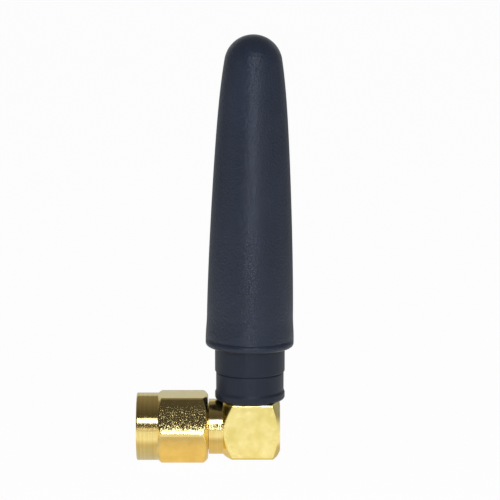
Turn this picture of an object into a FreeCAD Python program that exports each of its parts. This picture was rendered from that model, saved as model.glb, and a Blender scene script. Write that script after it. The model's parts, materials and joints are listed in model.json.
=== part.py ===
import FreeCAD, Part
import math
import os

from FreeCAD import Vector

# Stub antenna on a right-angle screw-on coaxial plug, in millimetres.
#
# The connector runs along X and the coupling nut opens towards -X. The mast
# stands along +Z. The origin is the centre of the plug's reference plane, which
# is the front rim of the outer contact. Sizes are written from the inside out:
# what surrounds a piece takes its size from that piece and a wall or a gap.

# Connector interface, as the 1/4-36 screw-on series has it
outer_contact_diameter = 4.592
outer_contact_length = 1.9
outer_contact_wall = 0.246
outer_contact_lead_in = 0.1
pin_diameter = 0.92
pin_reach = 2.1
pin_point_diameter = 0.4
pin_point_length = 0.35
thread_pitch = 25.4 / 36
thread_depth = 0.9 * thread_pitch / 2

# Centre line of the elbow
inner_conductor_diameter = 1.27
barb_height = 0.17
barb_length = 0.6
barb_gap = 4.6
slot_depth = 1.5
riser_diameter = 0.9
slot_gap = 0.02
joint_radius = 0.95
joint_shoulder = 0.7
joint_top = 1.25

# Gasket and the barrel that the nut turns on
seat_step = 0.2
gasket_width = 0.45
gasket_thickness = 0.75
gasket_proud = 0.05
barrel_step = 0.25
barrel_length = 2.7
spigot_step = 0.15
spigot_length = 2.0
ring_thickness = 0.38
ring_width = 0.5
ring_lift = 0.19
ring_split = 1.3
groove_side_gap = 0.05
groove_floor_gap = 0.18

# Coupling nut
running_clearance = 0.05
pass_clearance = 0.11
gasket_clearance = 0.25
relief_lead = 0.35
relief_tail = 0.3
ring_clearance = 0.11
nut_groove_side_gap = 0.1
mouth_clearance = 0.075
mouth_length = 0.9
mouth_chamfer = 0.2
nut_wall = 0.75
hex_length = 5.9
band_length = 2.6
band_proud = 0.03
band_edge_chamfer = 0.15
hex_front_angle = 38.0
hex_rear_angle = 36.0
hex_rear_fall = 0.2
neck_gap = 0.1

# Elbow body: a block turned down at both ends, with a round neck
neck_length = 1.7
neck_step = 0.7
block_wall = 0.8
block_top_wall = 0.85
block_foot_wall = 1.0
block_ahead = 3.2
block_behind = 3.6
block_edge_radius = 0.3
front_cone_angle = 38.0
rear_cone_angle = 26.0
end_face_margin = 0.6
cavity_wall = 1.1
cavity_reach = 2.1
cap_thickness = 0.9
cap_recess = 0.1
cap_edge_chamfer = 0.12
rear_insulator_thickness = 1.0

# Mast inside the collar
mast_insulator_diameter = 4.1
mast_insulator_above = 0.3
ferrule_wall = 0.55
ferrule_ledge = 0.1
ferrule_reach = 5.0
ferrule_groove_width = 0.7
ferrule_groove_depth = 0.25
ferrule_groove_rise = 2.2
stud_height = 2.6
stud_chamfer = 0.2
riser_above_stud = 0.6
stud_solder_height = 0.45
stud_solder_width = 0.65

# Radiator coil
wire_diameter = 0.6
coil_mean_diameter = 3.9
coil_pitch = 6.6
coil_foot_gap = 0.1
coil_head_gap = 0.8
coil_grip_gap = 0.05
wire_sides = 8

# Collar
collar_wall = 1.43
collar_lower_height = 3.4
collar_upper_height = 3.05
collar_step = 0.13
collar_step_chamfer = 0.12
collar_groove_depth = 0.12
collar_groove_height = 0.2
collar_foot_height = 0.85
collar_foot_proud = 0.125
collar_foot_blend = 0.3
collar_foot_edge = 0.35
collar_cup_clearance = 0.35
collar_top_chamfer = 0.3

# Sheath
sheath_height = 37.1
sheath_lean_deg = 0.75
socket_depth = 5.5
socket_play = 0.02
rim_wall = 1.025
rim_edge = 0.4
rim_mouth_chamfer = 0.15
lip_height = 0.9
lip_blend = 3.0
lip_drop = 0.125
tip_radius = 3.42
tip_blend_deg = 8.9
tip_thickness = 3.6
coil_room = 0.3
cavity_end_chamfer = 0.8
taper_runs = 6
taper_belly = 1.5
taper_shoulder = 8.0
taper_shoulder_share = 0.2

# Radii along the connector, each from the one inside it
outer_contact_r = outer_contact_diameter / 2
dielectric_r = outer_contact_r - outer_contact_wall
seat_r = outer_contact_r + seat_step
barrel_r = seat_r + barrel_step
spigot_r = barrel_r - spigot_step
gasket_r = seat_r + gasket_width
nut_land_r = barrel_r + running_clearance
thread_bore_r = barrel_r + pass_clearance
thread_root_r = thread_bore_r + thread_depth
mouth_r = thread_root_r + mouth_clearance
relief_r = gasket_r + gasket_clearance
hex_flat_r = mouth_r + nut_wall
hex_corner_r = hex_flat_r / math.cos(math.radians(30))
band_r = hex_flat_r + band_proud
hex_rear_r = hex_flat_r - hex_rear_fall
neck_r = spigot_r + neck_step
pin_r = pin_diameter / 2
conductor_r = inner_conductor_diameter / 2
riser_r = riser_diameter / 2
ring_inner_r = barrel_r - ring_lift
ring_outer_r = ring_inner_r + ring_thickness

# Places along X
gasket_front = outer_contact_length - gasket_proud
shoulder_x = gasket_front + gasket_thickness
neck_front = shoulder_x + barrel_length
nut_rear = neck_front - neck_gap
hex_front = nut_rear - hex_length
nut_front = hex_front - band_length
land_front = shoulder_x + relief_tail
ring_x = (land_front + nut_rear) / 2
spigot_end = neck_front + spigot_length
block_front = neck_front + neck_length
mast_x = block_front + block_ahead
block_rear = mast_x + block_behind
cavity_front = mast_x - cavity_reach
cap_face = block_rear - cap_recess
cap_back = cap_face - cap_thickness
joint_end = mast_x + slot_depth - riser_diameter

# Radii about the mast
mast_insulator_r = mast_insulator_diameter / 2
ferrule_r = mast_insulator_r + ferrule_wall
block_half = ferrule_r + block_wall
cavity_r = block_half - cavity_wall
end_face_r = cavity_r + end_face_margin
collar_lower_r = ferrule_r + collar_wall
collar_upper_r = collar_lower_r + collar_step
collar_foot_r = collar_lower_r + collar_foot_proud
wire_r = wire_diameter / 2
coil_r = coil_mean_diameter / 2
coil_outer_r = coil_r + wire_r
collar_cup_r = coil_outer_r + collar_cup_clearance

# Heights above the connector axis
block_top = ferrule_r + block_top_wall
block_foot = -cavity_r - block_foot_wall
ferrule_foot = cavity_r + ferrule_ledge
ferrule_top = block_top + ferrule_reach
stud_foot = ferrule_top + mast_insulator_above
stud_top = stud_foot + stud_height
riser_top = stud_top + riser_above_stud
collar_step_z = block_top + collar_lower_height
rim_z = collar_step_z + collar_upper_height
sheath_top = rim_z + sheath_height
cavity_end = sheath_top - tip_thickness
coil_foot = stud_foot + wire_r + coil_foot_gap
coil_top = cavity_end - coil_head_gap - wire_r

# The soft sheath leans on its collar, and the fits allow for the lean
lean = math.radians(sheath_lean_deg)
lean_z = rim_z + socket_depth / 2
socket_r = collar_upper_r + socket_play + math.sin(lean) * socket_depth / 2
seat_gap = socket_play + math.sin(lean) * collar_upper_r
collar_top = rim_z + socket_depth - seat_gap
stud_r = coil_r - wire_r - coil_grip_gap - math.sin(lean) * (lean_z - stud_foot)
rim_r = socket_r + rim_wall
taper_foot_r = rim_r - lip_drop
taper_foot = rim_z + lip_height + lip_blend

shortest_run = 1e-6
x_axis = Vector(1, 0, 0)
y_axis = Vector(0, 1, 0)
z_axis = Vector(0, 0, 1)


def rounded_outline(corners):
    """Edges of a closed outline. A corner is (along, out), with a third value where it has a radius."""
    points = [Vector(c[0], 0, c[1]) for c in corners]
    radii = [c[2] if len(c) == 3 else 0.0 for c in corners]
    count = len(points)
    cuts = []
    for i in range(count):
        here = points[i]
        back = (points[i - 1] - here).normalize()
        ahead = (points[(i + 1) % count] - here).normalize()
        half = back.getAngle(ahead) / 2
        reach = radii[i] / math.tan(half)
        middle = (back + ahead).normalize() * (radii[i] / math.sin(half) - radii[i])
        cuts.append((here + back * reach, here + middle, here + ahead * reach, radii[i]))
    edges = []
    for i in range(count):
        start, middle, end, radius = cuts[i]
        if radius > 0:
            edges.append(Part.Arc(start, middle, end).toShape())
        after = cuts[(i + 1) % count][0]
        if end.distanceToPoint(after) > shortest_run:
            edges.append(Part.LineSegment(end, after).toShape())
    return edges


def turned_on_x(corners):
    """A solid turned about the connector's axis, from (x, radius) corners."""
    face = Part.Face(Part.Wire(rounded_outline(corners)))
    return face.revolve(Vector(0, 0, 0), x_axis, 360)


def turned_on_mast(corners):
    """A solid turned about the mast's axis, from (radius, height) corners."""
    face = Part.Face(Part.Wire(rounded_outline(corners)))
    face.translate(Vector(mast_x, 0, 0))
    return face.revolve(Vector(mast_x, 0, 0), z_axis, 360)


def rod_x(radius, start, end):
    return Part.makeCylinder(radius, end - start, Vector(start, 0, 0), x_axis)


def rod_z(radius, start, end):
    return Part.makeCylinder(radius, end - start, Vector(mast_x, 0, start), z_axis)


def leaned(shape):
    """The shape tilted towards +X with the sheath, about the middle of its socket."""
    shape.rotate(Vector(mast_x, 0, lean_z), y_axis, sheath_lean_deg)
    return shape


def eased_edge(radius, foot, size):
    """Corners of a lower outer edge, eased in two flats that follow a quarter round."""
    near = size * (1 - math.sqrt(0.5))
    return [(radius - size, foot), (radius - near, foot + near), (radius, foot + size)]


def cone_run(rise, angle):
    """How far a cone runs along its axis as it rises, for an angle from the end plane."""
    return rise * math.tan(math.radians(angle))


def make_front_shell():
    groove_half = ring_width / 2 + groove_side_gap
    groove_floor = ring_inner_r - groove_floor_gap
    return turned_on_x([
        (0, dielectric_r),
        (0, outer_contact_r - outer_contact_lead_in),
        (outer_contact_lead_in, outer_contact_r),
        (outer_contact_length, outer_contact_r),
        (outer_contact_length, seat_r),
        (shoulder_x, seat_r),
        (shoulder_x, barrel_r),
        (ring_x - groove_half, barrel_r),
        (ring_x - groove_half, groove_floor),
        (ring_x + groove_half, groove_floor),
        (ring_x + groove_half, barrel_r),
        (neck_front, barrel_r),
        (neck_front, spigot_r),
        (spigot_end, spigot_r),
        (spigot_end, dielectric_r),
    ])


def make_gasket():
    return rod_x(gasket_r, gasket_front, shoulder_x).cut(rod_x(seat_r, gasket_front, shoulder_x))


def make_retaining_ring():
    start = ring_x - ring_width / 2
    end = ring_x + ring_width / 2
    ring = rod_x(ring_outer_r, start, end).cut(rod_x(ring_inner_r, start, end))
    split = Part.makeBox(ring_width, ring_split, ring_outer_r, Vector(start, -ring_split / 2, 0))
    return ring.cut(split)


def make_centre_pin():
    pin = turned_on_x([
        (-pin_reach, 0),
        (-pin_reach, pin_point_diameter / 2),
        (pin_point_length - pin_reach, pin_r),
        (0, pin_r),
        (0, conductor_r),
        (barb_gap, conductor_r),
        (barb_gap, conductor_r + barb_height),
        (barb_gap + barb_length, conductor_r),
        (joint_end, conductor_r),
        (joint_end, 0),
    ])
    slot_half = riser_r + slot_gap
    slot = Part.makeBox(
        slot_depth, 2 * slot_half, 2 * conductor_r, Vector(mast_x - slot_half, -slot_half, -conductor_r)
    )
    return pin.cut(slot)


def make_front_insulator():
    return rod_x(dielectric_r, 0, cavity_front).cut(centre_pin)


def make_coupling_nut():
    half_land_groove = ring_width / 2 + nut_groove_side_gap
    inside = turned_on_x([
        (nut_front, 0),
        (nut_front, mouth_r + mouth_chamfer),
        (nut_front + mouth_chamfer, mouth_r),
        (nut_front + mouth_chamfer + mouth_length, mouth_r),
        (nut_front + mouth_chamfer + mouth_length + mouth_r - thread_bore_r, thread_bore_r),
        (gasket_front - relief_lead, thread_bore_r),
        (gasket_front - relief_lead, relief_r),
        (land_front, relief_r),
        (land_front, nut_land_r),
        (ring_x - half_land_groove, nut_land_r),
        (ring_x - half_land_groove, ring_outer_r + ring_clearance),
        (ring_x + half_land_groove, ring_outer_r + ring_clearance),
        (ring_x + half_land_groove, nut_land_r),
        (nut_rear, nut_land_r),
        (nut_rear, 0),
    ])
    flats = hexagon(hex_front, nut_rear)
    front_run = cone_run(hex_corner_r - band_r, hex_front_angle)
    rear_run = cone_run(hex_corner_r - hex_rear_r, hex_rear_angle)
    turned = turned_on_x([
        (hex_front, 0),
        (hex_front, band_r),
        (hex_front + front_run, hex_corner_r),
        (nut_rear - rear_run, hex_corner_r),
        (nut_rear, hex_rear_r),
        (nut_rear, 0),
    ])
    band = turned_on_x([
        (nut_front, 0),
        (nut_front, band_r - band_edge_chamfer),
        (nut_front + band_edge_chamfer, band_r),
        (hex_front, band_r),
        (hex_front, 0),
    ])
    return band.fuse(flats.common(turned)).cut(inside)


def hexagon(start, end):
    """The nut's hexagon, with a flat on top and a corner towards the viewer."""
    corners = []
    for i in range(6):
        turn = math.radians(60 * i)
        corners.append(Vector(start, hex_corner_r * math.cos(turn), hex_corner_r * math.sin(turn)))
    face = Part.Face(Part.makePolygon(corners + corners[:1]))
    return face.extrude(Vector(end - start, 0, 0))


def make_elbow_body():
    corner_r = math.hypot(block_half, block_top)
    block = Part.makeBox(
        block_rear - block_front,
        2 * block_half,
        block_top - block_foot,
        Vector(block_front, -block_half, block_foot),
    )
    long_edges = [e for e in block.Edges if abs(e.tangentAt(e.FirstParameter).x) > 0.5]
    block = block.makeFillet(block_edge_radius, long_edges)
    turned = turned_on_x([
        (block_front, 0),
        (block_front, neck_r),
        (block_front + cone_run(corner_r - neck_r, front_cone_angle), corner_r),
        (block_rear - cone_run(corner_r - end_face_r, rear_cone_angle), corner_r),
        (block_rear, end_face_r),
        (block_rear, 0),
    ])
    body = block.common(turned).fuse(rod_x(neck_r, neck_front, block_front))
    bores = [
        rod_x(spigot_r, neck_front, spigot_end),
        rod_x(dielectric_r, neck_front, cavity_front),
        rod_x(cavity_r, cavity_front, block_rear),
        rod_z(mast_insulator_r, 0, block_top),
        rod_z(ferrule_r, ferrule_foot, block_top),
    ]
    for bore in bores:
        body = body.cut(bore)
    return body


def make_rear_insulator():
    return rod_x(cavity_r, cap_back - rear_insulator_thickness, cap_back)


def make_rear_cap():
    return turned_on_x([
        (cap_back, 0),
        (cap_back, cavity_r),
        (cap_face - cap_edge_chamfer, cavity_r),
        (cap_face, cavity_r - cap_edge_chamfer),
        (cap_face, 0),
    ])


def make_riser_contact():
    return rod_z(riser_r, -riser_r, riser_top)


def make_contact_solder():
    """A cone of solder over the slot, with the riser standing out of its top."""
    cone = turned_on_mast([
        (0, 0),
        (joint_radius, 0),
        (joint_radius, joint_shoulder),
        (riser_r, joint_top),
        (0, joint_top),
    ])
    return cone.cut(centre_pin).cut(riser_contact)


def make_mast_insulator():
    return rod_z(mast_insulator_r, ferrule_foot, stud_foot).cut(riser_contact)


def make_mast_ferrule():
    """A tube with a groove round it, where the moulded collar grips."""
    groove_foot = block_top + ferrule_groove_rise
    groove_head = groove_foot + ferrule_groove_width
    return turned_on_mast([
        (mast_insulator_r, ferrule_foot),
        (ferrule_r, ferrule_foot),
        (ferrule_r, groove_foot),
        (ferrule_r - ferrule_groove_depth, groove_foot),
        (ferrule_r - ferrule_groove_depth, groove_head),
        (ferrule_r, groove_head),
        (ferrule_r, ferrule_top),
        (mast_insulator_r, ferrule_top),
    ])


def make_coil_stud():
    return turned_on_mast([
        (0, stud_foot),
        (stud_r, stud_foot),
        (stud_r, stud_top - stud_chamfer),
        (stud_r - stud_chamfer, stud_top),
        (0, stud_top),
    ]).cut(riser_contact)


def make_coil_solder():
    return turned_on_mast([
        (0, stud_top),
        (riser_r + stud_solder_width, stud_top),
        (riser_r, stud_top + stud_solder_height),
        (0, stud_top + stud_solder_height),
    ]).cut(riser_contact)


def make_helix_coil():
    """A wire wound on a helix. Its round section is drawn as a polygon of the same area."""
    path = Part.makeHelix(coil_pitch, coil_top - coil_foot, coil_r)
    path.translate(Vector(mast_x, 0, coil_foot))
    first = path.Edges[0]
    start = first.valueAt(first.FirstParameter)
    side = first.tangentAt(first.FirstParameter).cross(x_axis)
    step = 2 * math.pi / wire_sides
    corner_r = wire_r * math.sqrt(step / math.sin(step))
    corners = []
    for i in range(wire_sides):
        across = corner_r * math.cos(step * i)
        corners.append(start + x_axis * across + side * (corner_r * math.sin(step * i)))
    section = Part.makePolygon(corners + corners[:1])
    return leaned(path.makePipeShell([section], True, True))


def make_base_collar():
    groove_z = collar_step_z - collar_groove_height
    outside = turned_on_mast([
        (0, block_top),
        *eased_edge(collar_foot_r, block_top, collar_foot_edge),
        (collar_foot_r, block_top + collar_foot_height),
        (collar_lower_r, block_top + collar_foot_height + collar_foot_blend),
        (collar_lower_r, groove_z),
        (collar_lower_r - collar_groove_depth, collar_step_z),
        (collar_upper_r - collar_step_chamfer, collar_step_z),
        (collar_upper_r, collar_step_z + collar_step_chamfer),
        (collar_upper_r, collar_top - collar_top_chamfer),
        (collar_upper_r - collar_top_chamfer, collar_top),
        (0, collar_top),
    ])
    return outside.cut(rod_z(collar_cup_r, ferrule_top, collar_top)).cut(ferrule_core())


def ferrule_core():
    """What stands inside the collar's foot: the ferrule with its bore filled."""
    return mast_ferrule.fuse(rod_z(mast_insulator_r, ferrule_foot, ferrule_top))


def taper_fall(share):
    """Share of the taper's fall in radius at a share of its height: a slow belly, then a quick shoulder."""
    belly = (1 - taper_shoulder_share) * share ** taper_belly
    return belly + taper_shoulder_share * share ** taper_shoulder


def make_sheath():
    """A turned boot: rounded rim, slight lip, long convex taper and domed tip, hollow inside."""
    blend = math.radians(tip_blend_deg)
    taper_top_r = tip_radius * math.cos(blend)
    taper_top = sheath_top - tip_radius + tip_radius * math.sin(blend)
    taper = []
    for i in range(taper_runs + 1):
        share = i / taper_runs
        radius = taper_foot_r - taper_fall(share) * (taper_foot_r - taper_top_r)
        taper.append((radius, taper_foot + share * (taper_top - taper_foot)))
    outside = turned_on_mast([
        (0, rim_z),
        *eased_edge(rim_r, rim_z, rim_edge),
        (rim_r, rim_z + lip_height),
    ] + taper + [
        (tip_radius * math.tan((math.pi / 2 - blend) / 2), sheath_top, tip_radius),
        (0, sheath_top),
    ])
    shelf = rim_z + socket_depth
    inside = turned_on_mast([
        (0, rim_z),
        (socket_r + rim_mouth_chamfer, rim_z),
        (socket_r, rim_z + rim_mouth_chamfer),
        (socket_r, shelf),
        (coil_outer_r + coil_room, shelf),
        (coil_outer_r + coil_room, cavity_end - cavity_end_chamfer),
        (coil_outer_r + coil_room - cavity_end_chamfer, cavity_end),
        (0, cavity_end),
    ])
    return leaned(outside.cut(inside))


front_shell = make_front_shell()
centre_pin = make_centre_pin()
riser_contact = make_riser_contact()
mast_insulator = make_mast_insulator()
mast_ferrule = make_mast_ferrule()

pieces = {
    "sheath": make_sheath(),
    "base_collar": make_base_collar(),
    "helix_coil": make_helix_coil(),
    "coil_stud": make_coil_stud(),
    "coil_solder": make_coil_solder(),
    "riser_contact": riser_contact,
    "mast_insulator": mast_insulator,
    "mast_ferrule": mast_ferrule,
    "elbow_body": make_elbow_body(),
    "rear_cap": make_rear_cap(),
    "rear_insulator": make_rear_insulator(),
    "contact_solder": make_contact_solder(),
    "centre_pin": centre_pin,
    "front_insulator": make_front_insulator(),
    "front_shell": front_shell,
    "gasket": make_gasket(),
    "retaining_ring": make_retaining_ring(),
    "coupling_nut": make_coupling_nut(),
}

os.makedirs("parts", exist_ok=True)
for name, shape in pieces.items():
    shape.exportStep(os.path.join("parts", name + ".step"))
    print(name, "solids", len(shape.Solids), "valid", shape.isValid(), "volume", round(shape.Volume, 3))
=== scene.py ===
import json
import math

import bpy
import numpy as np
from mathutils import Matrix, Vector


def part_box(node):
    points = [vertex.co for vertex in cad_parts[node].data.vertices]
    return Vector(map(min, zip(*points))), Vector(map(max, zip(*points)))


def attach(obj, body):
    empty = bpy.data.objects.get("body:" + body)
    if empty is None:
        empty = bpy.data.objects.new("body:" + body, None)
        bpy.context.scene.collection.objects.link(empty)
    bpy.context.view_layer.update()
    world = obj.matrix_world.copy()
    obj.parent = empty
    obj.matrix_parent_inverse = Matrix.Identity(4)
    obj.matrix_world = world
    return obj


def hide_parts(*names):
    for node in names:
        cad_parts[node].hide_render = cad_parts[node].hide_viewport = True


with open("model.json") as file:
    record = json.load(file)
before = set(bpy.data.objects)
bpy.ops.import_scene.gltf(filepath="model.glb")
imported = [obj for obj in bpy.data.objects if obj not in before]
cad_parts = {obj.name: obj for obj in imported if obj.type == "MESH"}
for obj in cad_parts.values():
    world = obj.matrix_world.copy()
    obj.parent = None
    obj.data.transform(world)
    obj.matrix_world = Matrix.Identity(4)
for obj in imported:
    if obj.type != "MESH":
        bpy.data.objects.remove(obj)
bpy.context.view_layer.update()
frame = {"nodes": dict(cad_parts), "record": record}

# A stub antenna on a right-angle screw-on plug. Sizes below are in millimetres,
# and a mesh is put in metres as it is made.
MM = 0.001


def node_box(name):
    """Lowest and highest corner of a CAD node, in millimetres."""
    low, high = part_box(name)
    return np.array(low) / MM, np.array(high) / MM


def mount(name):
    """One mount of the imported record, by its name."""
    return next(m for m in frame["record"]["mounts"] if m["name"] == name)


# Places that the frame gives
nut_low, nut_high = node_box("coupling_nut")
elbow_low, elbow_high = node_box("elbow_body")
shell_low, shell_high = node_box("front_shell")
gasket_low, gasket_high = node_box("gasket")
pin_low, pin_high = node_box("centre_pin")
dielectric_low, dielectric_high = node_box("front_insulator")
collar_low, collar_high = node_box("base_collar")
cap_low, cap_high = node_box("rear_cap")
mast_x = (collar_low[0] + collar_high[0]) / 2
block_half, block_top, block_foot = elbow_high[1], elbow_high[2], -elbow_low[2]

# Collar
collar_lower_height = 3.4
collar_step_z = collar_low[2] + collar_lower_height
collar_upper_r = 4.16
collar_step = 0.13
collar_lower_r = collar_upper_r - collar_step
collar_foot_r = (collar_high[0] - collar_low[0]) / 2
collar_foot_height = 0.85
collar_foot_blend = 0.3
collar_foot_edge = 0.35
collar_groove = 0.12
collar_groove_height = 0.2
cup_r = 2.6
cup_floor_height = 5.0

# Sheath: its socket, its rim, the taper's two powers and its tip
rim_above_step = 3.05
sheath_height = 37.1
rim_z = collar_step_z + rim_above_step
sheath_top = rim_z + sheath_height
sheath_lean_deg = 0.75
hollow_r = collar_upper_r - 1.2
socket_depth = 5.5
socket_play = 0.02
socket_r = collar_upper_r + socket_play + math.sin(math.radians(sheath_lean_deg)) * socket_depth / 2
rim_wall = 1.025
rim_r = socket_r + rim_wall
rim_edge = 0.4
lip_height = 0.9
lip_blend = 3.0
lip_drop = 0.125
tip_radius = 3.42
tip_blend_deg = 8.9
tip_thickness = 3.6
taper_belly = 1.5
taper_shoulder = 8.0
taper_shoulder_share = 0.2

# Elbow
neck_r = 3.296
neck_length = 1.7
block_front = elbow_low[0] + neck_length
block_rear = elbow_high[0]
block_edge = 0.3
front_cone_deg = 38.0
rear_cone_deg = 26.0
cap_r = (cap_high[1] - cap_low[1]) / 2
cap_recess = 0.3
end_face_r = cap_r + 0.6

# Plug: its barrel, the seat of its gasket, its insulator and its pin
barrel_r = (shell_high[1] - shell_low[1]) / 2
hidden_r = barrel_r - 0.15
seat_front = 1.9
seat_r = 2.496
insulator_setback = 0.02
insulator_bore_r = 0.64
rod_r = 0.635
pin_point_r = 0.2
pin_point_length = 0.35

# Coupling nut
band_r = nut_high[2]
corner_r = nut_high[1]
flat_r = corner_r * math.cos(math.radians(30))
hex_length = 5.9
hex_front = nut_high[0] - hex_length
hex_front_deg = 38.0
hex_rear_deg = 36.0
hex_rear_r = flat_r - 0.2
face_crown = 0.08
face_crown_power = 5
hex_corner_edge = 0.35
mouth_r = mount("nut_mouth")["dims"]["r_mm"]
mouth_length = mount("nut_mouth")["dims"]["length_mm"]
mouth_chamfer = 0.2
thread_pitch = 25.4 / 36
thread_crest_r = 2.856
thread_depth = 0.9 * thread_pitch / 2
land_r = 2.796
relief_r = 3.196
thread_end = gasket_low[0] - 0.35
land_front = gasket_high[0] + 0.3

# Finishes: the size of the plating's patches, and of the cloudy shifts in the moulded pieces
plating_patch_mm = 1.3
cloud_mm = 7.0

# Stage: how far from the connector the paper's mirrored colour, with its painted light and shade, goes on
# changing, the paper's colours far out, what is left of them in a mirror on the floor behind and at the
# wall's head, a painted dimming, the part of the paper's white that takes no shadow, and the camera's view
far_paper_mm = 100.0
white_paper, pale_paper, grey_paper = (1.0, 1.0, 1.0), (0.92, 0.94, 0.94), (0.58, 0.61, 0.62)
rear_floor_share = 0.45
wall_head_share = 0.25
emitted_share = 0.97
camera_elevation_deg = 10.2
camera_distance = 320.0
picture_px, focal_px = 500, 2704

X_AXIS = np.array([1.0, 0.0, 0.0])
Y_AXIS = np.array([0.0, 1.0, 0.0])
Z_AXIS = np.array([0.0, 0.0, 1.0])


def eased(corners, steps=8, support=0.25):
    """A profile of (along, out, radius) corners, each turned into a tangent arc.

    With half the angle between two runs, the arc starts radius / tan(half) from the corner, and
    its centre lies radius / sin(half) along the bisector. A point a little before and after each
    arc keeps the shading of the long runs flat.
    """
    points = []
    count = len(corners)
    for i, (along, out, radius) in enumerate(corners):
        here = np.array([along, out])
        if radius == 0 or i in (0, count - 1):
            points.append(here[None])
            continue
        back = np.array(corners[i - 1][:2]) - here
        ahead = np.array(corners[i + 1][:2]) - here
        back /= np.linalg.norm(back)
        ahead /= np.linalg.norm(ahead)
        half = math.acos(np.clip(back @ ahead, -1, 1)) / 2
        reach = radius / math.tan(half)
        middle = (back + ahead) / np.linalg.norm(back + ahead)
        centre = here + middle * (radius / math.sin(half))
        start = here + back * reach
        sweep = math.pi - 2 * half
        first = (start - centre) / radius
        turn = np.sign(back[1] * ahead[0] - back[0] * ahead[1])
        angles = turn * sweep * np.linspace(0, 1, steps + 1)
        arc = np.stack([
            first[0] * np.cos(angles) - first[1] * np.sin(angles),
            first[0] * np.sin(angles) + first[1] * np.cos(angles),
        ], 1) * radius + centre
        before = start + back * radius * support
        after = here + ahead * (reach + radius * support)
        points.append(np.vstack([before, arc, after]))
    return np.vstack(points)


def filled(profile, longest):
    """The same profile with points added evenly, so that no step is over the longest."""
    steps = np.linalg.norm(np.diff(profile, axis=0), axis=1)
    pieces = [
        profile[i] + np.linspace(0, 1, max(1, math.ceil(steps[i] / longest)), endpoint=False)[:, None]
        * (profile[i + 1] - profile[i])
        for i in range(len(steps))
    ]
    return np.vstack(pieces + [profile[-1:]])


def skin(name, grid, loop=False):
    """A closed mesh from a grid of points in millimetres, one ring of points to each row.

    Each ring closes on itself. With loop, the last ring joins the first, and otherwise the first and
    last rings are poles that shrink to one vertex. The sign of the volume, a sum of the triple
    product of each triangle's corners, says whether the faces are to be turned outwards.
    """
    rows, columns = grid.shape[:2]
    if loop:
        points = grid.reshape(-1, 3)
        ring = np.arange(rows * columns).reshape(rows, columns)
        ring = np.vstack([ring, ring[:1]])
        fans = np.zeros((0, 3), int)
    else:
        body = grid[1:-1].reshape(-1, 3)
        points = np.vstack([grid[:1, 0], body, grid[-1:, 0]])
        ring = 1 + np.arange((rows - 2) * columns).reshape(rows - 2, columns)
        last = np.full(columns, len(points) - 1)
        head, foot = ring[0], ring[-1]
        fans = np.vstack([
            np.stack([np.zeros(columns, int), np.roll(head, -1), head], 1),
            np.stack([last, foot, np.roll(foot, -1)], 1),
        ])
    near, far = ring[:-1], ring[1:]
    quads = np.stack([near, np.roll(near, -1, 1), np.roll(far, -1, 1), far], -1).reshape(-1, 4)
    triangles = np.vstack([quads[:, [0, 1, 2]], quads[:, [0, 2, 3]], fans])
    a, b, c = (points[triangles[:, k]] for k in range(3))
    if np.einsum("ij,ij->", a, np.cross(b, c)) < 0:
        quads, fans = quads[:, ::-1], fans[:, ::-1]
    mesh = bpy.data.meshes.new(name)
    mesh.from_pydata((points * MM).tolist(), [], quads.tolist() + fans.tolist())
    mesh.polygons.foreach_set("use_smooth", np.ones(len(mesh.polygons), bool))
    piece = bpy.data.objects.new(name, mesh)
    bpy.context.scene.collection.objects.link(piece)
    return piece


def second_finish(piece, choose):
    """Gives the second material to the faces whose middles choose(x, distance from the axis) picks."""
    middles = np.zeros(3 * len(piece.data.polygons))
    piece.data.polygons.foreach_get("center", middles)
    middles = middles.reshape(-1, 3) / MM
    picked = choose(middles[:, 0], np.hypot(middles[:, 1], middles[:, 2]))
    piece.data.polygons.foreach_set("material_index", picked.astype(int))


def rings(profile, turn, base, axis, side):
    """Points of a turned surface.

    For (along, out) and a turn t, the point is
    base + axis * along + out * (side * cos t + (axis x side) * sin t).
    """
    other = np.cross(axis, side)
    around = side * np.cos(turn)[:, None] + other * np.sin(turn)[:, None]
    return base + axis * profile[:, 0, None, None] + profile[:, 1, None, None] * around


def even_turn(count):
    """Angles of a full turn in equal steps, without the last, which is the first again."""
    return np.arange(count) * 2 * math.pi / count


def turned_on_x(name, profile, count=160, loop=True):
    """A piece turned about the connector's axis, from (x, radius) points."""
    grid = rings(profile, even_turn(count), np.zeros(3), X_AXIS, Y_AXIS)
    return skin(name, grid, loop)


def turned_on_mast(name, profile, count=224, lean_deg=0.0, lean_z=0.0, loop=False):
    """A piece turned about the mast, from (height, radius) points, and leaned towards +X."""
    base = np.array([mast_x, 0, 0])
    grid = rings(profile, even_turn(count), base, Z_AXIS, X_AXIS)
    c, s = math.cos(math.radians(lean_deg)), math.sin(math.radians(lean_deg))
    pivot = np.array([mast_x, 0, lean_z])
    turn = np.array([[c, 0, s], [0, 1, 0], [-s, 0, c]])
    return skin(name, (grid - pivot) @ turn.T + pivot, loop)


def soft_least(a, b, ease):
    """The lesser of a and b, with the crease between them eased over about the given width."""
    share = np.clip(0.5 + 0.5 * (b - a) / ease, 0, 1)
    return b + (a - b) * share - ease * share * (1 - share)


def cone_rise(x, start, foot_r, degrees):
    """Radius of a cone that rises from foot_r at start, at an angle from the end plane."""
    return foot_r + (x - start) / math.tan(math.radians(degrees))


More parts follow.
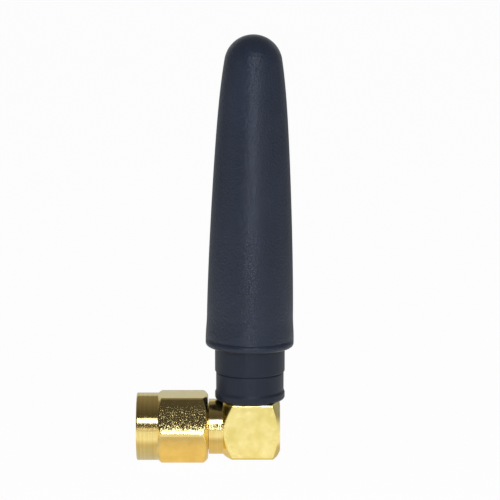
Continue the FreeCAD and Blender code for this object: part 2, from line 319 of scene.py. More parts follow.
def rounded_block(turn, half, top, foot, edge):
    """Distance from the axis to a block with rounded edges, at each turn.

    A ray meets the flats at half / |cos| and at top or foot / |sin|, whichever is nearer. Past the end
    of its flat it meets the corner's arc, at u.C + sqrt((u.C)^2 - C.C + edge^2) for the arc's centre C.
    """
    across, up = np.abs(np.cos(turn)), np.abs(np.sin(turn))
    height = np.where(np.sin(turn) > 0, top, foot)
    centre_y, centre_z = half - edge, height - edge
    flat = 1 / np.maximum(across / half, up / height)
    reach = across * centre_y + up * centre_z
    arc = reach + np.sqrt(np.maximum(reach ** 2 - centre_y ** 2 - centre_z ** 2 + edge ** 2, 0))
    in_corner = (flat * across > centre_y) & (flat * up > centre_z)
    return np.where(in_corner, arc, flat)


def rounded_hexagon(turn, flat, edge, crown):
    """Distance from the axis to a hexagon with rounded corners and slightly crowned faces, at each turn.

    A ray at an angle a from the middle of its face meets the flat at flat / cos(a). Near a corner it
    meets the corner's arc, whose centre lies D = (flat - edge) / cos(30) out, at
    D cos(t) + sqrt(edge^2 - (D sin(t))^2) for an angle t from the corner. The crown takes off
    crown * share^power, for a share of the half face.
    """
    half = math.pi / 6
    from_corner = np.abs((turn + half) % (2 * half) - half)
    from_middle = half - from_corner
    share = np.tan(from_middle) / math.tan(half)
    centre = (flat - edge) / math.cos(half)
    under_root = edge ** 2 - (centre * np.sin(from_corner)) ** 2
    arc = centre * np.cos(from_corner) + np.sqrt(np.maximum(under_root, 0))
    side = np.where(share > 1 - edge / flat, arc, flat / np.cos(from_middle))
    return side - crown * share ** face_crown_power


def crowded_turn(corners, per_side, first, crowd=0.8):
    """Angles of a full turn that crowd round a number of evenly spaced corners.

    Between two corners a share s becomes s - crowd * sin(2 pi s) / (2 pi), so the steps at a
    corner are 1 - crowd of the even ones.
    """
    share = np.arange(per_side) / per_side
    share = share - crowd * np.sin(2 * math.pi * share) / (2 * math.pi)
    sector = 2 * math.pi / corners
    return (first + sector * (np.arange(corners)[:, None] + share)).reshape(-1)


def steps_over(start, end, step):
    """Even places from start up to end, with the end left out."""
    count = max(1, math.ceil(abs(end - start) / step))
    return start + (end - start) * np.arange(count) / count


# Pieces


def taper_fall(share):
    """Share of the fall in radius at a share of the height: share^belly and share^shoulder, mixed."""
    belly = (1 - taper_shoulder_share) * share ** taper_belly
    return belly + taper_shoulder_share * share ** taper_shoulder


def make_sheath():
    """The rubber boot: a rounded rim, a slight lip, a long convex taper, a domed tip and its hollow.

    The outside goes up from the rim. Over the taper the radius is foot - fall(share) * (foot - top),
    and the dome is a part of a circle, so its radius is tip * cos(angle).
    """
    blend = math.radians(tip_blend_deg)
    taper_foot_r = rim_r - lip_drop
    taper_foot = rim_z + lip_height + lip_blend
    taper_top_r = tip_radius * math.cos(blend)
    taper_top = sheath_top - tip_radius * (1 - math.sin(blend))
    shelf = rim_z + socket_depth
    inner = eased([
        (sheath_top - tip_thickness, 0, 0),
        (sheath_top - tip_thickness, hollow_r, 0.5),
        (shelf, hollow_r, 0.2),
        (shelf, socket_r, 0.2),
        (rim_z, socket_r, 0.12),
        (rim_z, rim_r, rim_edge),
        (rim_z + lip_height, rim_r, 0),
    ], steps=10)
    share = np.linspace(0, 1, 20)[:-1]
    lip = np.stack([
        rim_z + lip_height + share * lip_blend,
        rim_r - lip_drop * (1 - np.cos(math.pi * share)) / 2,
    ], 1)
    share = np.linspace(0, 1, 150)
    taper = np.stack([
        taper_foot + share * (taper_top - taper_foot),
        taper_foot_r - taper_fall(share) * (taper_foot_r - taper_top_r),
    ], 1)
    angle = np.linspace(blend, math.pi / 2, 48)[1:]
    dome = np.stack([
        sheath_top - tip_radius * (1 - np.sin(angle)),
        np.maximum(tip_radius * np.cos(angle), 0),
    ], 1)
    profile = np.vstack([filled(inner, 1.5), lip, taper, dome])
    lean_z = rim_z + socket_depth / 2
    return turned_on_mast("rubber_sheath", profile, 256, sheath_lean_deg, lean_z)


def make_collar():
    """The moulded collar: two rings with an undercut at the step, a flared foot and an open cup on top."""
    foot = collar_low[2]
    top = collar_high[2]
    cup_floor = foot + cup_floor_height
    profile = eased([
        (foot, 0, 0),
        (foot, collar_foot_r, collar_foot_edge),
        (foot + collar_foot_height, collar_foot_r, 0.18),
        (foot + collar_foot_height + collar_foot_blend, collar_lower_r, 0.3),
        (collar_step_z - collar_groove_height, collar_lower_r, 0.05),
        (collar_step_z, collar_lower_r - collar_groove, 0.04),
        (collar_step_z, collar_upper_r, 0.12),
        (top, collar_upper_r, 0.3),
        (top, cup_r, 0.1),
        (cup_floor, cup_r, 0.1),
        (cup_floor, 0, 0),
    ])
    return turned_on_mast("collar", filled(profile, 0.6))


def make_elbow():
    """The elbow: a round neck and a block with eased edges, both its ends turned to cones.

    At a place x and a turn t the radius is the soft least of the rounded block and the turned
    outline. Both ends close inside their bores.
    """
    turn = crowded_turn(4, 96, math.pi / 4)
    ease = 0.12
    far_r = 1.5 * block_half
    front_inside = eased([
        (elbow_low[0] + 0.6, 0, 0),
        (elbow_low[0] + 0.6, hidden_r, 0.1),
        (elbow_low[0], hidden_r, 0.05),
        (elbow_low[0], neck_r - 0.1, 0),
    ], steps=4)
    edge = eased([
        (elbow_low[0], neck_r - 0.1, 0),
        (elbow_low[0], neck_r, 0.06),
        (elbow_low[0] + 0.15, neck_r, 0),
    ], steps=4)
    neck_x = steps_over(elbow_low[0] + 0.16, block_front - 0.12, 0.1)
    front_x = steps_over(block_front - 0.12, block_front + 1.2, 0.03)
    middle_x = steps_over(block_front + 1.2, block_rear - 1.3, 0.12)
    rear_x = steps_over(block_rear - 1.3, block_rear, 0.03)
    x = np.concatenate([neck_x, front_x, middle_x, rear_x])
    front = -soft_least(-cone_rise(x, block_front, neck_r, front_cone_deg), np.full_like(x, -neck_r), 0.06)
    rear = cone_rise(x, block_rear, end_face_r, -rear_cone_deg)
    outline = soft_least(np.minimum(front, far_r), np.minimum(rear, far_r), ease)
    block = rounded_block(turn, block_half, block_top, block_foot, block_edge)
    outside = soft_least(outline[:, None], np.broadcast_to(block, (len(x), len(turn))), ease)
    recess_x = cap_high[0] - cap_recess
    rear_inside = eased([
        (block_rear, end_face_r - 0.03, 0),
        (block_rear, cap_r, 0.05),
        (recess_x, cap_r, 0.05),
        (recess_x, 0, 0),
    ], steps=4)
    start = np.vstack([front_inside[:-1], edge])
    across = Y_AXIS * np.cos(turn)[:, None] + Z_AXIS * np.sin(turn)[:, None]
    middle = X_AXIS * x[:, None, None] + outside[..., None] * across
    grid = np.vstack([
        rings(start, turn, np.zeros(3), X_AXIS, Y_AXIS),
        middle,
        rings(rear_inside, turn, np.zeros(3), X_AXIS, Y_AXIS),
    ])
    elbow = skin("elbow", grid)
    second_finish(elbow, lambda x, out: x < block_front)
    return elbow


def thread_wave(x, turn):
    """Height of a 60 degree thread with flats, from 0 on its crest to 1 at its root.

    The phase is x / pitch less the share of a turn, and a triangle wave of it is cut off at both ends.
    """
    phase = (x[:, None] / thread_pitch - turn / (2 * math.pi)) % 1
    wave = 1 - np.abs(2 * phase - 1)
    return np.clip((wave - 0.14) / 0.72, 0, 1)


def make_nut():
    """The coupling nut: a round band and a hexagon outside, a plain mouth, a thread and a relief inside.

    Outside, the radius is the soft least of the hexagon and the turned outline. Inside the thread it is
    crest + depth * wave(x, turn), which fades in along the lead-in cone.
    """
    turn = crowded_turn(6, 60, 0.0)
    ease = 0.1
    front, rear = nut_low[0], nut_high[0]
    edge = eased([
        (front, mouth_r + mouth_chamfer + 0.1, 0),
        (front, band_r, 0.14),
        (front + 0.4, band_r, 0),
    ], steps=6)
    band_x = steps_over(front + 0.45, hex_front - 0.1, 0.25)
    start_x = steps_over(hex_front - 0.1, hex_front + 0.75, 0.03)
    middle_x = steps_over(hex_front + 0.75, rear - 0.85, 0.25)
    end_x = steps_over(rear - 0.85, rear, 0.03)
    x = np.concatenate([band_x, start_x, middle_x, end_x])
    rise = cone_rise(x, hex_front, band_r, hex_front_deg)
    rise = -soft_least(-rise, np.full_like(x, -band_r), 0.05)
    fall = cone_rise(x, rear, hex_rear_r, -hex_rear_deg)
    outline = soft_least(np.minimum(rise, corner_r), np.minimum(fall, corner_r), ease)[:, None]
    hexagon = rounded_hexagon(turn, flat_r, hex_corner_edge, face_crown)
    hexagon = np.broadcast_to(hexagon, (len(x), len(turn)))
    on_hex = x[:, None] > hex_front - 0.02
    outside = np.where(on_hex, soft_least(outline, hexagon, ease), outline)
    rear_face = eased([
        (rear, hex_rear_r - 0.06, 0),
        (rear, land_r, 0.06),
        (land_front, land_r, 0.06),
        (land_front, relief_r, 0.05),
        (thread_end, relief_r, 0.05),
        (thread_end, thread_crest_r + thread_depth / 2, 0),
    ], steps=3)
    lead_start = front + mouth_chamfer + mouth_length
    thread_x = steps_over(thread_end - 0.02, lead_start, thread_pitch / 14)
    lead_in = np.maximum(mouth_r - (thread_x - lead_start), thread_crest_r)[:, None]
    wave = thread_crest_r + thread_depth * thread_wave(thread_x, turn)
    inside = np.maximum(wave, lead_in)
    mouth = eased([
        (lead_start, mouth_r, 0),
        (front + mouth_chamfer, mouth_r, 0.05),
        (front, mouth_r + mouth_chamfer, 0.05),
        (front, mouth_r + mouth_chamfer + 0.09, 0),
    ], steps=3)
    across = Y_AXIS * np.cos(turn)[:, None] + Z_AXIS * np.sin(turn)[:, None]
    origin = np.zeros(3)
    parts = [
        rings(edge, turn, origin, X_AXIS, Y_AXIS),
        X_AXIS * x[:, None, None] + outside[..., None] * across,
        rings(rear_face, turn, origin, X_AXIS, Y_AXIS),
        X_AXIS * thread_x[:, None, None] + inside[..., None] * across,
        rings(mouth, turn, origin, X_AXIS, Y_AXIS),
    ]
    nut = skin("nut", np.vstack(parts), loop=True)
    second_finish(nut, lambda x, out: (x > hex_front) & (out > flat_r - 0.15))
    return nut


def make_shell():
    """The outer contact and the barrel behind it, with the ring's groove."""
    outer_r = mount("outer_contact")["dims"]["r_mm"]
    inner_r = (dielectric_high[1] - dielectric_low[1]) / 2
    shoulder = gasket_high[0]
    end = shell_high[0]
    profile = eased([
        (end, (inner_r + barrel_r) / 2, 0),
        (end, inner_r, 0.04),
        (shell_low[0], inner_r, 0.04),
        (shell_low[0], outer_r, 0.09),
        (seat_front, outer_r, 0.04),
        (seat_front, seat_r, 0.04),
        (shoulder, seat_r, 0.04),
        (shoulder, barrel_r, 0.06),
        (elbow_low[0], barrel_r, 0.04),
        (elbow_low[0], hidden_r, 0.04),
        (end, hidden_r, 0.04),
        (end, (inner_r + barrel_r) / 2 + 0.02, 0),
    ], steps=4)
    return turned_on_x("outer_contact", filled(profile, 0.8), 144)


def make_pin():
    """The centre contact: a pin with an eased point on a stepped rod."""
    pin_r = mount("centre_contact")["dims"]["r_mm"]
    profile = eased([
        (pin_low[0], 0, 0),
        (pin_low[0], pin_point_r, 0.08),
        (pin_low[0] + pin_point_length, pin_r, 0.2),
        (0, pin_r, 0.02),
        (0, rod_r, 0.04),
        (pin_high[0], rod_r, 0.05),
        (pin_high[0], 0, 0),
    ], steps=6)
    return turned_on_x("centre_contact", filled(profile, 0.5), 64, loop=False)


def make_dielectric():
    """The white insulator that fills the outer contact round the pin, flush with its rim."""
    outer_r = (dielectric_high[1] - dielectric_low[1]) / 2
    profile = eased([
        (insulator_setback, insulator_bore_r, 0),
        (insulator_setback, outer_r - 0.002, 0.06),
        (dielectric_high[0], outer_r - 0.002, 0.06),
        (dielectric_high[0], insulator_bore_r, 0.02),
        (0.05, insulator_bore_r, 0),
    ], steps=4)
    return turned_on_x("insulator_face", filled(profile, 0.5), 96)


def make_gasket():
    """The rubber ring on its seat behind the outer contact."""
    outer_r = (gasket_high[1] - gasket_low[1]) / 2
    profile = eased([
        (gasket_low[0], (seat_r + outer_r) / 2, 0),
        (gasket_low[0], outer_r, 0.14),
        (gasket_high[0], outer_r, 0.14),
        (gasket_high[0], seat_r, 0.05),
        (gasket_low[0], seat_r, 0.05),
        (gasket_low[0], (seat_r + outer_r) / 2 - 0.02, 0),
    ], steps=5)
    return turned_on_x("gasket_ring", profile, 96)


def make_cap():
    """The disc pressed into the elbow's rear bore, with a turned edge."""
    profile = eased([
        (cap_low[0], 0, 0),
        (cap_low[0], cap_r - 0.01, 0.05),
        (cap_high[0], cap_r - 0.01, 0.12),
        (cap_high[0], 0, 0),
    ], steps=6)
    return turned_on_x("end_cap", filled(profile, 0.3), 128, loop=False)


# Materials


def linear(code):
    """A hex sRGB colour as linear red, green, blue and alpha."""
    parts = [int(code[i:i + 2], 16) / 255 for i in (1, 3, 5)]
    return [p / 12.92 if p <= 0.04045 else ((p + 0.055) / 1.055) ** 2.4 for p in parts] + [1.0]


def add(tree, kind, inputs=None, **settings):
    """Adds one node. Settings are its properties, and inputs its sockets, each a value or a link."""
    made = tree.nodes.new(kind)
    for key, value in settings.items():
        setattr(made, key, value)
    for key, value in (inputs or {}).items():
        if isinstance(value, bpy.types.NodeSocket):
            tree.links.new(value, made.inputs[key])
        else:
            made.inputs[key].default_value = value
    return made


def blank(name):
    """A new node material with nothing but its output."""
    material = bpy.data.materials.new(name)
    material.use_nodes = True
    material.node_tree.nodes.clear()
    return material, material.node_tree


def gold_plate(
    name, grain_mm, dent_mm, ring_mm, groove_mm, rough, dark, light,
    ringed=0.0, facet_mm=0.0, facet_tilt=0.0,
):
    """Gold-plated brass. The plating is bright, and the marks of cutting and tumbling under it show.

    grain_mm and dent_mm are the size and depth of the tumbled dents, and ring_mm and groove_mm the
    spacing and depth of the cutter's rings. Tone goes from dark to light with the plating's patches,
    and ringed is the share of that which follows the rings. With facet_mm, the face is broken into
    bright little facets of that size, and each leans its own way: normal + tilt * (random - 0.5).
    """
    material, tree = blank(name)
    place = add(tree, "ShaderNodeTexCoord").outputs["Object"]
    dents = add(tree, "ShaderNodeTexNoise", {
        "Vector": place, "Scale": 1 / (grain_mm * MM), "Detail": 1.5, "Roughness": 0.7,
    })
    along = add(tree, "ShaderNodeMapping", {"Vector": place, "Scale": (1 / (ring_mm * MM), 20, 20)})
    ring_noise = add(tree, "ShaderNodeTexNoise", {
        "Vector": along.outputs["Vector"], "Scale": 1.0, "Detail": 2.0, "Roughness": 0.5,
    })
    patches = add(tree, "ShaderNodeTexNoise", {
        "Vector": place, "Scale": 1 / (plating_patch_mm * MM), "Detail": 2.0,
    })
    pattern = add(tree, "ShaderNodeMix", {
        "Factor": ringed, "A": patches.outputs["Fac"], "B": ring_noise.outputs["Fac"],
    })
    spread = add(tree, "ShaderNodeMapRange", {
        "Value": pattern.outputs["Result"], "From Min": 0.3, "From Max": 0.7,
    })
    tone = add(tree, "ShaderNodeMix", {"Factor": spread.outputs["Result"]}, data_type="RGBA")
    tone.inputs[6].default_value = linear(dark)
    tone.inputs[7].default_value = linear(light)
    roughness = add(tree, "ShaderNodeMapRange", {
        "Value": dents.outputs["Fac"], "From Min": 0.3, "From Max": 0.7,
        "To Min": rough * 0.8, "To Max": rough * 1.25,
    })
    dent_bump = add(tree, "ShaderNodeBump", {
        "Height": dents.outputs["Fac"], "Distance": dent_mm * MM, "Strength": 1.0,
    })
    if facet_mm:
        cells = add(tree, "ShaderNodeTexVoronoi", {"Vector": place, "Scale": 1 / (facet_mm * MM)})
        tilt = add(tree, "ShaderNodeVectorMath", {
            0: cells.outputs["Color"], 1: (0.5, 0.5, 0.5),
        }, operation="SUBTRACT")
        tilt = add(tree, "ShaderNodeVectorMath", {
            0: tilt.outputs[0], "Scale": facet_tilt,
        }, operation="SCALE")
        straight = add(tree, "ShaderNodeNewGeometry").outputs["Normal"]
        leaned = add(tree, "ShaderNodeVectorMath", {0: straight, 1: tilt.outputs[0]}, operation="ADD")
        leaned = add(tree, "ShaderNodeVectorMath", {0: leaned.outputs[0]}, operation="NORMALIZE")
        tree.links.new(leaned.outputs[0], dent_bump.inputs["Normal"])
    ring_bump = add(tree, "ShaderNodeBump", {
        "Height": ring_noise.outputs["Fac"], "Distance": groove_mm * MM, "Strength": 1.0,
        "Normal": dent_bump.outputs["Normal"],
    })
    shader = add(tree, "ShaderNodeBsdfPrincipled", {
        "Base Color": tone.outputs[2], "Metallic": 1.0, "Roughness": roughness.outputs["Result"],
        "Normal": ring_bump.outputs["Normal"],
    })
    add(tree, "ShaderNodeOutputMaterial", {"Surface": shader.outputs["BSDF"]})
    return material


def moulded(name, dark, light, rough, grain_mm, depth_mm, specular=0.5):
    """A moulded or turned polymer: fine grain, with faint cloudy shifts of tone and sheen.

    grain_mm and depth_mm are the size and depth of the grain that the mould or the tool leaves.
    """
    material, tree = blank(name)
    place = add(tree, "ShaderNodeTexCoord").outputs["Object"]
    grain = add(tree, "ShaderNodeTexNoise", {
        "Vector": place, "Scale": 1 / (grain_mm * MM), "Detail": 2.0, "Roughness": 0.6,
    })
    cloud = add(tree, "ShaderNodeTexNoise", {"Vector": place, "Scale": 1 / (cloud_mm * MM), "Detail": 2.0})
    tone = add(tree, "ShaderNodeMix", {"Factor": cloud.outputs["Fac"]}, data_type="RGBA")
    tone.inputs[6].default_value = linear(dark)
    tone.inputs[7].default_value = linear(light)
    roughness = add(tree, "ShaderNodeMapRange", {
        "Value": cloud.outputs["Fac"], "From Min": 0.3, "From Max": 0.7,
        "To Min": rough * 0.92, "To Max": rough * 1.08,
    })
    bump = add(tree, "ShaderNodeBump", {
        "Height": grain.outputs["Fac"], "Distance": depth_mm * MM, "Strength": 1.0,
    })
    shader = add(tree, "ShaderNodeBsdfPrincipled", {
        "Base Color": tone.outputs[2], "Roughness": roughness.outputs["Result"],
        "Specular IOR Level": specular, "Normal": bump.outputs["Normal"],
    })
    add(tree, "ShaderNodeOutputMaterial", {"Surface": shader.outputs["BSDF"]})
    return material


def plain_metal(name, code, rough, grain_mm):
    """A drawn or turned metal, with fine noise in its sheen."""
    material, tree = blank(name)
    place = add(tree, "ShaderNodeTexCoord").outputs["Object"]
    grain = add(tree, "ShaderNodeTexNoise", {"Vector": place, "Scale": 1 / (grain_mm * MM), "Detail": 3.0})
    roughness = add(tree, "ShaderNodeMapRange", {
        "Value": grain.outputs["Fac"], "To Min": rough * 0.7, "To Max": rough * 1.3,
    })
    shader = add(tree, "ShaderNodeBsdfPrincipled", {
        "Base Color": linear(code), "Metallic": 1.0, "Roughness": roughness.outputs["Result"],
    })
    add(tree, "ShaderNodeOutputMaterial", {"Surface": shader.outputs["BSDF"]})
    return material


# Stage


def make_sweep():
    """A pale floor that bends up into a wall far behind: flat, then a quarter circle, then upright."""
    floor_z = min(nut_low[2], elbow_low[2]) - 0.01
    bend, wall_y, reach = 250.0, 900.0, 900.0
    angle = np.linspace(0, math.pi / 2, 24)
    y = np.concatenate([[-900.0], wall_y - bend + bend * np.sin(angle), [wall_y]])
    z = np.concatenate([[0.0], bend * (1 - np.cos(angle)), [900.0]]) + floor_z
    left = np.stack([np.full_like(y, -reach), y, z], 1)
    right = left + np.array([2 * reach, 0, 0])
    points = np.vstack([left, right]) * MM
    count = len(y)
    faces = [(i, i + count, i + count + 1, i + 1) for i in range(count - 1)]
    mesh = bpy.data.meshes.new("sweep")
    mesh.from_pydata(points.tolist(), [], faces)
    mesh.polygons.foreach_set("use_smooth", np.ones(len(mesh.polygons), bool))
    floor = bpy.data.objects.new("sweep", mesh)
    bpy.context.scene.collection.objects.link(floor)
    return floor


def paper():
    """Matt white paper, which keeps a part of the shadow on it.

    It is white to the camera. In a reflection it shows painted light and shade: white some way from the
    connector, a painted warm glow close to it that stands in for the light the gold throws, painted shade
    under the front band, the neck and the block, a painted grey far out, and painted dimming behind the
    antenna and high up the wall.
    The distance is the greater of |y| and the way past the connector's ends.
    """
    material, tree = blank("white_paper")
    place = add(tree, "ShaderNodeTexCoord").outputs["Object"]
    parts = add(tree, "ShaderNodeSeparateXYZ", {0: place})
    middle_x, half_length = (nut_low[0] + elbow_high[0]) / 2, (elbow_high[0] - nut_low[0]) / 2
    beside = add(tree, "ShaderNodeMath", {0: parts.outputs["Y"]}, operation="ABSOLUTE")
    beyond = add(tree, "ShaderNodeMath", {0: parts.outputs["X"], 1: middle_x * MM}, operation="SUBTRACT")
    beyond = add(tree, "ShaderNodeMath", {0: beyond.outputs[0]}, operation="ABSOLUTE")
    beyond = add(tree, "ShaderNodeMath", {0: beyond.outputs[0], 1: half_length * MM}, operation="SUBTRACT")
    away = add(tree, "ShaderNodeMath", {0: beside.outputs[0], 1: beyond.outputs[0]}, operation="MAXIMUM")
    away = add(tree, "ShaderNodeMapRange", {"Value": away.outputs[0], "From Max": far_paper_mm * MM})

    def ramp(stops):
        """The paper's mirrored colour, painted light and shade, from stops of (distance in mm, colour)."""
        made = add(tree, "ShaderNodeValToRGB", {"Fac": away.outputs["Result"]})
        elements = made.color_ramp.elements
        while len(elements) < len(stops):
            elements.new(0.5)
        for element, (distance, colour) in zip(elements, stops):
            element.position = distance / far_paper_mm
            element.color = (*colour, 1)
        return made.outputs["Color"]

    # Painted light and shade in the paper's reflection: white near, a painted grey far out, a painted warm
    # glow under the hexagon, painted shade under the band, the neck and the block.
    far = [(9.0, white_paper), (30.0, pale_paper), (45.0, pale_paper), (far_paper_mm, grey_paper)]
    painted_light_under_hexagon = ramp([(4.0, (0.9, 0.73, 0.44)), (5.8, (0.64, 0.55, 0.42))] + far)
    painted_shade_under_band = ramp([(2.8, (0.6, 0.61, 0.68)), (5.8, (0.66, 0.6, 0.48))] + far)
    painted_shade_under_neck = ramp([(4.0, (0.73, 0.62, 0.45)), (5.8, (0.66, 0.58, 0.46))] + far)
    painted_shade_under_block = ramp([(3.3, (0.6, 0.51, 0.36)), (4.4, (0.95, 0.9, 0.8))] + far)

    def from_there(before, after, start, end):
        """One mirrored colour that turns into the next between two places in mm along the connector."""
        along = add(tree, "ShaderNodeMapRange", {
            "Value": parts.outputs["X"], "From Min": start * MM, "From Max": end * MM,
        })
        made = add(tree, "ShaderNodeMix", {"Factor": along.outputs["Result"]}, data_type="RGBA")
        tree.links.new(before, made.inputs[6])
        tree.links.new(after, made.inputs[7])
        return made.outputs[2]

    mirrored = from_there(painted_shade_under_band, painted_light_under_hexagon, hex_front - 0.6, hex_front + 0.4)
    mirrored = from_there(mirrored, painted_shade_under_neck, nut_high[0] - 0.4, nut_high[0] + 0.1)
    mirrored = from_there(mirrored, painted_shade_under_block, block_front, block_front + 1.0)
    # Painted shade: the mirrored colour is dimmed on the floor behind the antenna and high up the wall.
    high = add(tree, "ShaderNodeMapRange", {
        "Value": parts.outputs["Z"], "From Min": 600 * MM, "From Max": 850 * MM,
        "To Min": 1.0, "To Max": wall_head_share,
    })
    rear_floor = add(tree, "ShaderNodeMapRange", {
        "Value": parts.outputs["Y"], "From Min": 0.0, "From Max": 80 * MM,
        "To Min": 1.0, "To Max": rear_floor_share,
    })
    wall = add(tree, "ShaderNodeMapRange", {
        "Value": parts.outputs["Z"], "From Min": 0.0, "From Max": 40 * MM,
    })
    painted_dimming = add(tree, "ShaderNodeMath", {
        0: rear_floor.outputs["Result"], 1: wall.outputs["Result"],
    }, operation="MAXIMUM")
    painted_dimming = add(tree, "ShaderNodeMath", {0: painted_dimming.outputs[0], 1: high.outputs["Result"]}, operation="MULTIPLY")
    behind = add(tree, "ShaderNodeVectorMath", {0: mirrored}, operation="SCALE")
    tree.links.new(painted_dimming.outputs[0], behind.inputs["Scale"])
    path = add(tree, "ShaderNodeLightPath")
    colour = add(tree, "ShaderNodeMix", {"Factor": path.outputs["Is Camera Ray"]}, data_type="RGBA")
    tree.links.new(behind.outputs["Vector"], colour.inputs[6])
    colour.inputs[7].default_value = (1, 1, 1, 1)
    to_camera = add(tree, "ShaderNodeMath", {
        0: path.outputs["Is Camera Ray"], 1: emitted_share,
    }, operation="MULTIPLY")
    share = add(tree, "ShaderNodeMath", {
        0: to_camera.outputs[0], 1: path.outputs["Is Glossy Ray"],
    }, operation="MAXIMUM")
    matt = add(tree, "ShaderNodeBsdfDiffuse", {"Color": linear("#FAFAFA")})
    shown = add(tree, "ShaderNodeEmission", {"Color": colour.outputs[2], "Strength": 1.0})
    mixed = add(tree, "ShaderNodeMixShader", {
        0: share.outputs[0], 1: matt.outputs[0], 2: shown.outputs[0],
    })
    add(tree, "ShaderNodeOutputMaterial", {"Surface": mixed.outputs[0]})
    return material


def make_world():
    """White behind the object for the camera. All else sees a dim room with a pale strip in front.

    The room's strength rises from front to back with Y. In front, with Y near -1, a strip at the height
    of the horizon is brighter, and the greater of the two counts.
    """
    world = bpy.data.worlds.new("studio")
    bpy.context.scene.world = world
    world.use_nodes = True
    tree = world.node_tree
    tree.nodes.clear()
    direction = add(tree, "ShaderNodeTexCoord").outputs["Generated"]
    parts = add(tree, "ShaderNodeSeparateXYZ", {0: direction})
    back = add(tree, "ShaderNodeMapRange", {
        "Value": parts.outputs["Y"], "From Min": -0.7, "From Max": 0.7, "To Min": 0.06, "To Max": 0.25,
    })
    low = add(tree, "ShaderNodeMapRange", {
        "Value": parts.outputs["Z"], "From Min": 0.11, "From Max": 0.17, "To Min": 0.8, "To Max": 0.14,
    })
    lower = add(tree, "ShaderNodeMapRange", {
        "Value": parts.outputs["Z"], "From Min": 0.3, "From Max": 0.5, "To Min": 1.0, "To Max": 0.0,
    })
    ahead = add(tree, "ShaderNodeMapRange", {
        "Value": parts.outputs["Y"], "From Min": -0.95, "From Max": -0.8, "To Min": 1.0, "To Max": 0.0,
    })
    low = add(tree, "ShaderNodeMath", {
        0: low.outputs["Result"], 1: lower.outputs["Result"],
    }, operation="MULTIPLY")
    low = add(tree, "ShaderNodeMath", {0: low.outputs[0], 1: ahead.outputs["Result"]}, operation="MULTIPLY")
    strength = add(tree, "ShaderNodeMath", {
        0: back.outputs["Result"], 1: low.outputs[0],
    }, operation="MAXIMUM")
    room = add(tree, "ShaderNodeBackground", {"Color": linear("#FFF6EA"), "Strength": strength.outputs[0]})
    white = add(tree, "ShaderNodeBackground", {"Color": (1, 1, 1, 1), "Strength": 1.0})
    path = add(tree, "ShaderNodeLightPath")
    mixed = add(tree, "ShaderNodeMixShader", {
        0: path.outputs["Is Camera Ray"], 1: room.outputs[0], 2: white.outputs[0],
    })
    add(tree, "ShaderNodeOutputWorld", {"Surface": mixed.outputs[0]})


def aim(obj, place, target):
    """Puts an object at a place in millimetres, looking at a target."""
    place, target = np.array(place, float), np.array(target, float)
    look = place - target
    obj.location = place * MM
    direction = Vector(look.tolist())
    obj.rotation_euler = direction.to_track_quat("Z", "Y").to_euler()


def lamp(name, azimuth, elevation, distance, width, height, radiance, glossy=True, code="#FFFFFF"):
    """A soft box. Its power is radiance * pi * area, so that its face has that brightness.

    It stands at the distance, in millimetres, turned to the right of the camera by the azimuth and raised
    by the elevation, in degrees. Without glossy it lights matt surfaces and shows in no reflection.
    """
    light = bpy.data.lights.new(name, "AREA")
    light.shape = "RECTANGLE"
    light.size, light.size_y = width * MM, height * MM
    light.energy = radiance * math.pi * width * height * MM * MM
    light.color = linear(code)[:3]
    box = bpy.data.objects.new(name, light)
    bpy.context.scene.collection.objects.link(box)
    a, e = math.radians(azimuth), math.radians(elevation)
    target = np.array([mast_x, 0, 15.0])
    offset = np.array([math.sin(a) * math.cos(e), -math.cos(a) * math.cos(e), math.sin(e)])
    aim(box, target + distance * offset, target)
    box.visible_glossy = glossy
    box.visible_camera = False
    return box


def make_camera():
    """The photograph's view: from the front, a little above, from 320 mm away."""
    elevation = math.radians(camera_elevation_deg)
    target = np.array([mast_x + 0.015, 0, 21.44])
    data = bpy.data.cameras.new("camera")
    data.sensor_width = 36
    data.lens = focal_px * data.sensor_width / picture_px
    data.clip_start, data.clip_end = 0.01, 10
    camera = bpy.data.objects.new("camera", data)
    bpy.context.scene.collection.objects.link(camera)
    place = target + camera_distance * np.array([0, -math.cos(elevation), math.sin(elevation)])
    aim(camera, place, target)
    bpy.context.scene.camera = camera


def settle(piece, body, nodes, slot, *materials):
    """A finished piece: its materials, the body it rides on and the nodes it stands for."""
    for material in materials:
        piece.data.materials.append(material)
    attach(piece, body)
    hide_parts(*nodes)


def dress(name, material):
    """A CAD node that stays, in a finished material."""
    mesh = frame["nodes"][name].data
    mesh.materials.clear()
    mesh.materials.append(material)


make_camera()

# Turned and plated: bright, with rings from the cutter that break a reflection up along the axis.
# The rings stand 0.24 mm apart, a few times coarser than a real feed, so that they show.
turned_gold = gold_plate(
    "gold_plated_brass_turned", 0.5, 0.003, 0.24, 0.008, 0.13, "#EBCB78", "#FFE99C", ringed=0.7,
)
# Milled, tumbled and plated: flat faces with a fine glitter of little facets. At 0.062 mm they are
# coarser than the real ones, so that they show as a speckle.
milled_gold = gold_plate(
    "gold_plated_brass_milled", 0.3, 0.005, 0.24, 0.001, 0.1, "#F0D68A", "#FAE398",
    facet_mm=0.062, facet_tilt=0.1,
)
# The block, tumbled longer: a satin that blurs what it mirrors. Its roughness stays under 0.27 all
# over, because the denoiser draws a line where a roughness crosses that.
block_gold = gold_plate("gold_plated_brass_tumbled", 0.4, 0.012, 0.6, 0.001, 0.215, "#F2DB82", "#FFEC9E")
# Moulded against an eroded steel: soft wide highlights over a faint leathery grain. The grain is
# 0.28 mm, coarser than the real one, so that it shows. The roughness stays over 0.27 all over.
rubber = moulded("thermoplastic_rubber_moulded", "#1F2530", "#2A3140", 0.305, 0.28, 0.075, 0.34)
# Moulded nylon: duller and darker than the rubber, with a finer grain.
collar_plastic = moulded("black_nylon_moulded", "#1B212C", "#232935", 0.42, 0.16, 0.02, 0.28)
# Turned fluoropolymer: waxy white, nearly smooth.
white_polymer = moulded("white_fluoropolymer_turned", "#E8E8E4", "#F2F2EE", 0.4, 0.12, 0.002)
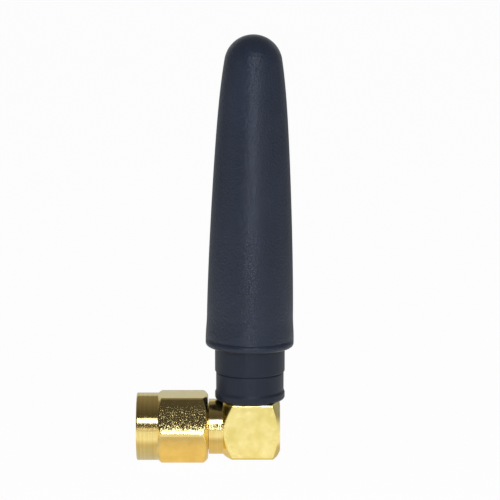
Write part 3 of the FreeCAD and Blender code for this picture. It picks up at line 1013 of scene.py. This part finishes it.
# Moulded silicone: brick red and matt.
silicone = moulded("red_silicone_moulded", "#8A2A1C", "#9A3222", 0.5, 0.1, 0.002)
# The metals inside, drawn, turned or cast and left bare: dull, with an uneven sheen.
bare_brass = plain_metal("brass_turned", "#C9A24B", 0.3, 0.1)
spring_metal = plain_metal("phosphor_bronze_drawn", "#B98A5A", 0.3, 0.08)
solder = plain_metal("tin_solder_cast", "#C2C2C4", 0.35, 0.2)

settle(make_sheath(), "antenna", ["sheath"], "sheath_rubber", rubber)
settle(make_collar(), "antenna", ["base_collar"], "collar_plastic", collar_plastic)
settle(make_elbow(), "antenna", ["elbow_body"], "gold_plate", block_gold, turned_gold)
settle(make_nut(), "nut", ["coupling_nut"], "gold_plate", turned_gold, milled_gold)
settle(make_shell(), "antenna", ["front_shell"], "gold_plate", turned_gold)
settle(make_pin(), "antenna", ["centre_pin"], "gold_plate", turned_gold)
settle(make_dielectric(), "antenna", ["front_insulator"], "insulator_plastic", white_polymer)
settle(make_gasket(), "antenna", ["gasket"], "gasket_rubber", silicone)
settle(make_cap(), "antenna", ["rear_cap"], "gold_plate", turned_gold)

dress("helix_coil", spring_metal)
dress("coil_stud", bare_brass)
dress("coil_solder", solder)
dress("riser_contact", bare_brass)
dress("mast_insulator", white_polymer)
dress("mast_ferrule", bare_brass)
dress("rear_insulator", white_polymer)
dress("contact_solder", solder)
dress("retaining_ring", spring_metal)

# A soft box above and a narrow strip close in front draw the gold's white streaks, and one lamp at the
# right its edge. The two fills light the pieces that aren't metal.
make_sweep().data.materials.append(paper())
make_world()
lamp("front_box", 7, 31, 500, 230, 125, 5.6, code="#E8EEFF")
lamp("front_strip", 2.2, 8, 110, 6, 60, 16.0, code="#D8E4FF")
lamp("right_strip", 84, 20, 450, 90, 400, 0.2)
lamp("left_fill", -65, 14, 600, 500, 280, 3.6, glossy=False)
lamp("right_fill", 38, 14, 600, 300, 280, 5.4, glossy=False)

view = bpy.context.scene.view_settings
view.view_transform = "Standard"
